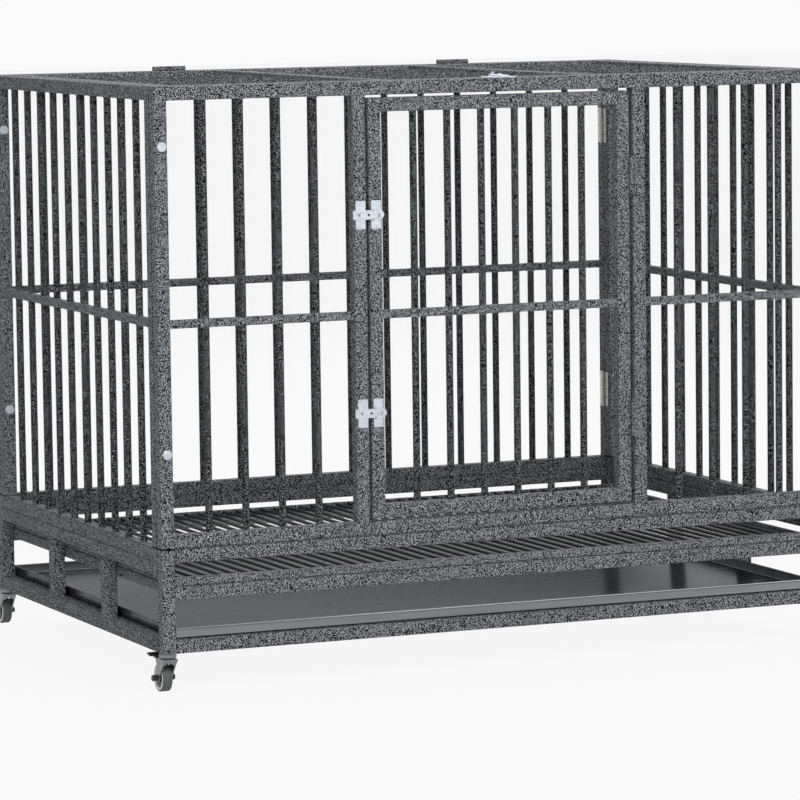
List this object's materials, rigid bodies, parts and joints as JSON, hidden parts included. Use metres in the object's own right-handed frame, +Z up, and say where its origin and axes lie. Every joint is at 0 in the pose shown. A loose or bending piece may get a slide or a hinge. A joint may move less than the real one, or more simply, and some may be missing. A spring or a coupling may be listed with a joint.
{
  "type": "heavy duty dog crate",
  "caption": "Welded steel tube dog crate on swivel casters, with a hinged barred door and lid, slide latches, a floor grate and a pull-out tray.",
  "frame": {"origin": "centre of the bounding box on the floor, under the middle of the crate", "axes": "+X along the crate's width to its right end seen from the front, +Y from the front door to the back panel, +Z up"},
  "size_m": [1.084, 0.7904, 0.8685],
  "materials": {
    "hammertone_paint": "grey silver-vein hammertone powder coat",
    "zinc_plate": "bright zinc plate",
    "bare_steel": "satin bare steel",
    "tray_sheet": "smooth grey sheet with a soft sheen",
    "black_steel": "dark plated steel",
    "white_nylon": "moulded nylon",
    "grey_rubber": "matte grey tread",
    "black_plastic": "matte black"
  },
  "bodies": {
    "crate": {"base_corner_posts": "hammertone_paint", "base_long_rails": "hammertone_paint", "base_side_rails": "hammertone_paint", "base_side_posts": "hammertone_paint", "tray_runners": "hammertone_paint", "floor_grate_long_rails": "hammertone_paint", "floor_grate_end_rails": "hammertone_paint", "floor_grate_bars": "hammertone_paint", "front_panel_uprights": "hammertone_paint", "front_panel_rails": "hammertone_paint", "front_panel_bars": "hammertone_paint", "back_panel_uprights": "hammertone_paint", "back_panel_rails": "hammertone_paint", "back_panel_bars": "hammertone_paint", "end_panel_uprights": "hammertone_paint", "end_panel_rails": "hammertone_paint", "end_panel_bars": "hammertone_paint", "panel_bolts": "zinc_plate", "panel_nuts": "zinc_plate", "corner_hinge_leaves": "bare_steel", "corner_hinge_pins": "bare_steel", "door_hinge_pins": "hammertone_paint", "lid_hinge_pins": "hammertone_paint", "latch_keepers": "zinc_plate", "latch_studs": "zinc_plate", "caster_stems": "bare_steel"},
    "door": {"door_uprights": "hammertone_paint", "door_rails": "hammertone_paint", "door_bars": "hammertone_paint", "door_hinge_sleeves": "hammertone_paint", "door_latch_guides": "zinc_plate"},
    "lid": {"lid_long_rails": "hammertone_paint", "lid_cross_rails": "hammertone_paint", "lid_bars": "hammertone_paint", "lid_hinge_sleeves": "hammertone_paint", "lid_latch_guide": "zinc_plate"},
    "upper_latch": {"upper_latch_bar": "zinc_plate"},
    "lower_latch": {"lower_latch_bar": "zinc_plate"},
    "lid_latch": {"lid_latch_bar": "zinc_plate"},
    "tray": {"tray": "tray_sheet"},
    "front_left_caster": {"front_left_fork": "bare_steel", "front_left_axle": "black_steel"},
    "front_left_roller": {"front_left_wheel": "white_nylon", "front_left_tyre": "grey_rubber"},
    "front_left_pedal": {"front_left_brake": "black_plastic"},
    "front_right_caster": {"front_right_fork": "bare_steel", "front_right_axle": "black_steel"},
    "front_right_roller": {"front_right_wheel": "white_nylon", "front_right_tyre": "grey_rubber"},
    "front_right_pedal": {"front_right_brake": "black_plastic"},
    "back_left_caster": {"back_left_fork": "bare_steel", "back_left_axle": "black_steel"},
    "back_left_roller": {"back_left_wheel": "white_nylon", "back_left_tyre": "grey_rubber"},
    "back_left_pedal": {"back_left_brake": "black_plastic"},
    "back_right_caster": {"back_right_fork": "bare_steel", "back_right_axle": "black_steel"},
    "back_right_roller": {"back_right_wheel": "white_nylon", "back_right_tyre": "grey_rubber"},
    "back_right_pedal": {"back_right_brake": "black_plastic"}
  },
  "joints": [
    {"name": "door_swing", "type": "hinge", "parent": "crate", "child": "door", "pos_m": [0.21, -0.39075, 0.534], "axis": [0, 0, 1], "range_deg": [0, 170]},
    {"name": "lid_swing", "type": "hinge", "parent": "crate", "child": "lid", "pos_m": [0, 0.32925, 0.864], "axis": [-1, 0, 0], "range_deg": [0, 180]},
    {"name": "upper_latch_slide", "type": "slide", "parent": "door", "child": "upper_latch", "axis": [1, 0, 0], "range_m": [0, 0.0035]},
    {"name": "lower_latch_slide", "type": "slide", "parent": "door", "child": "lower_latch", "axis": [1, 0, 0], "range_m": [0, 0.0035]},
    {"name": "lid_latch_slide", "type": "slide", "parent": "lid", "child": "lid_latch", "axis": [0, 1, 0], "range_m": [0, 0.0035]},
    {"name": "tray_pull", "type": "slide", "parent": "crate", "child": "tray", "axis": [0, -1, 0], "range_m": [0, 0.7]},
    {"name": "front_left_swivel", "type": "hinge", "parent": "crate", "child": "front_left_caster", "pos_m": [-0.525, -0.37775, 0.047], "axis": [0, 0, 1], "continuous": true},
    {"name": "front_left_roll", "type": "hinge", "parent": "front_left_caster", "child": "front_left_roller", "pos_m": [-0.525, -0.35775, 0.02], "axis": [1, 0, 0], "continuous": true},
    {"name": "front_left_brake_press", "type": "hinge", "parent": "front_left_caster", "child": "front_left_pedal", "pos_m": [-0.525, -0.36175, 0.044], "axis": [-1, 0, 0], "range_deg": [0, 10]},
    {"name": "front_right_swivel", "type": "hinge", "parent": "crate", "child": "front_right_caster", "pos_m": [0.525, -0.37775, 0.047], "axis": [0, 0, 1], "continuous": true},
    {"name": "front_right_roll", "type": "hinge", "parent": "front_right_caster", "child": "front_right_roller", "pos_m": [0.525, -0.35775, 0.02], "axis": [1, 0, 0], "continuous": true},
    {"name": "front_right_brake_press", "type": "hinge", "parent": "front_right_caster", "child": "front_right_pedal", "pos_m": [0.525, -0.36175, 0.044], "axis": [-1, 0, 0], "range_deg": [0, 10]},
    {"name": "back_left_swivel", "type": "hinge", "parent": "crate", "child": "back_left_caster", "pos_m": [-0.525, 0.34225, 0.047], "axis": [0, 0, 1], "continuous": true},
    {"name": "back_left_roll", "type": "hinge", "parent": "back_left_caster", "child": "back_left_roller", "pos_m": [-0.525, 0.36225, 0.02], "axis": [1, 0, 0], "continuous": true},
    {"name": "back_left_brake_press", "type": "hinge", "parent": "back_left_caster", "child": "back_left_pedal", "pos_m": [-0.525, 0.35825, 0.044], "axis": [-1, 0, 0], "range_deg": [0, 10]},
    {"name": "back_right_swivel", "type": "hinge", "parent": "crate", "child": "back_right_caster", "pos_m": [0.525, 0.34225, 0.047], "axis": [0, 0, 1], "continuous": true},
    {"name": "back_right_roll", "type": "hinge", "parent": "back_right_caster", "child": "back_right_roller", "pos_m": [0.525, 0.36225, 0.02], "axis": [1, 0, 0], "continuous": true},
    {"name": "back_right_brake_press", "type": "hinge", "parent": "back_right_caster", "child": "back_right_pedal", "pos_m": [0.525, 0.35825, 0.044], "axis": [-1, 0, 0], "range_deg": [0, 10]}
  ]
}
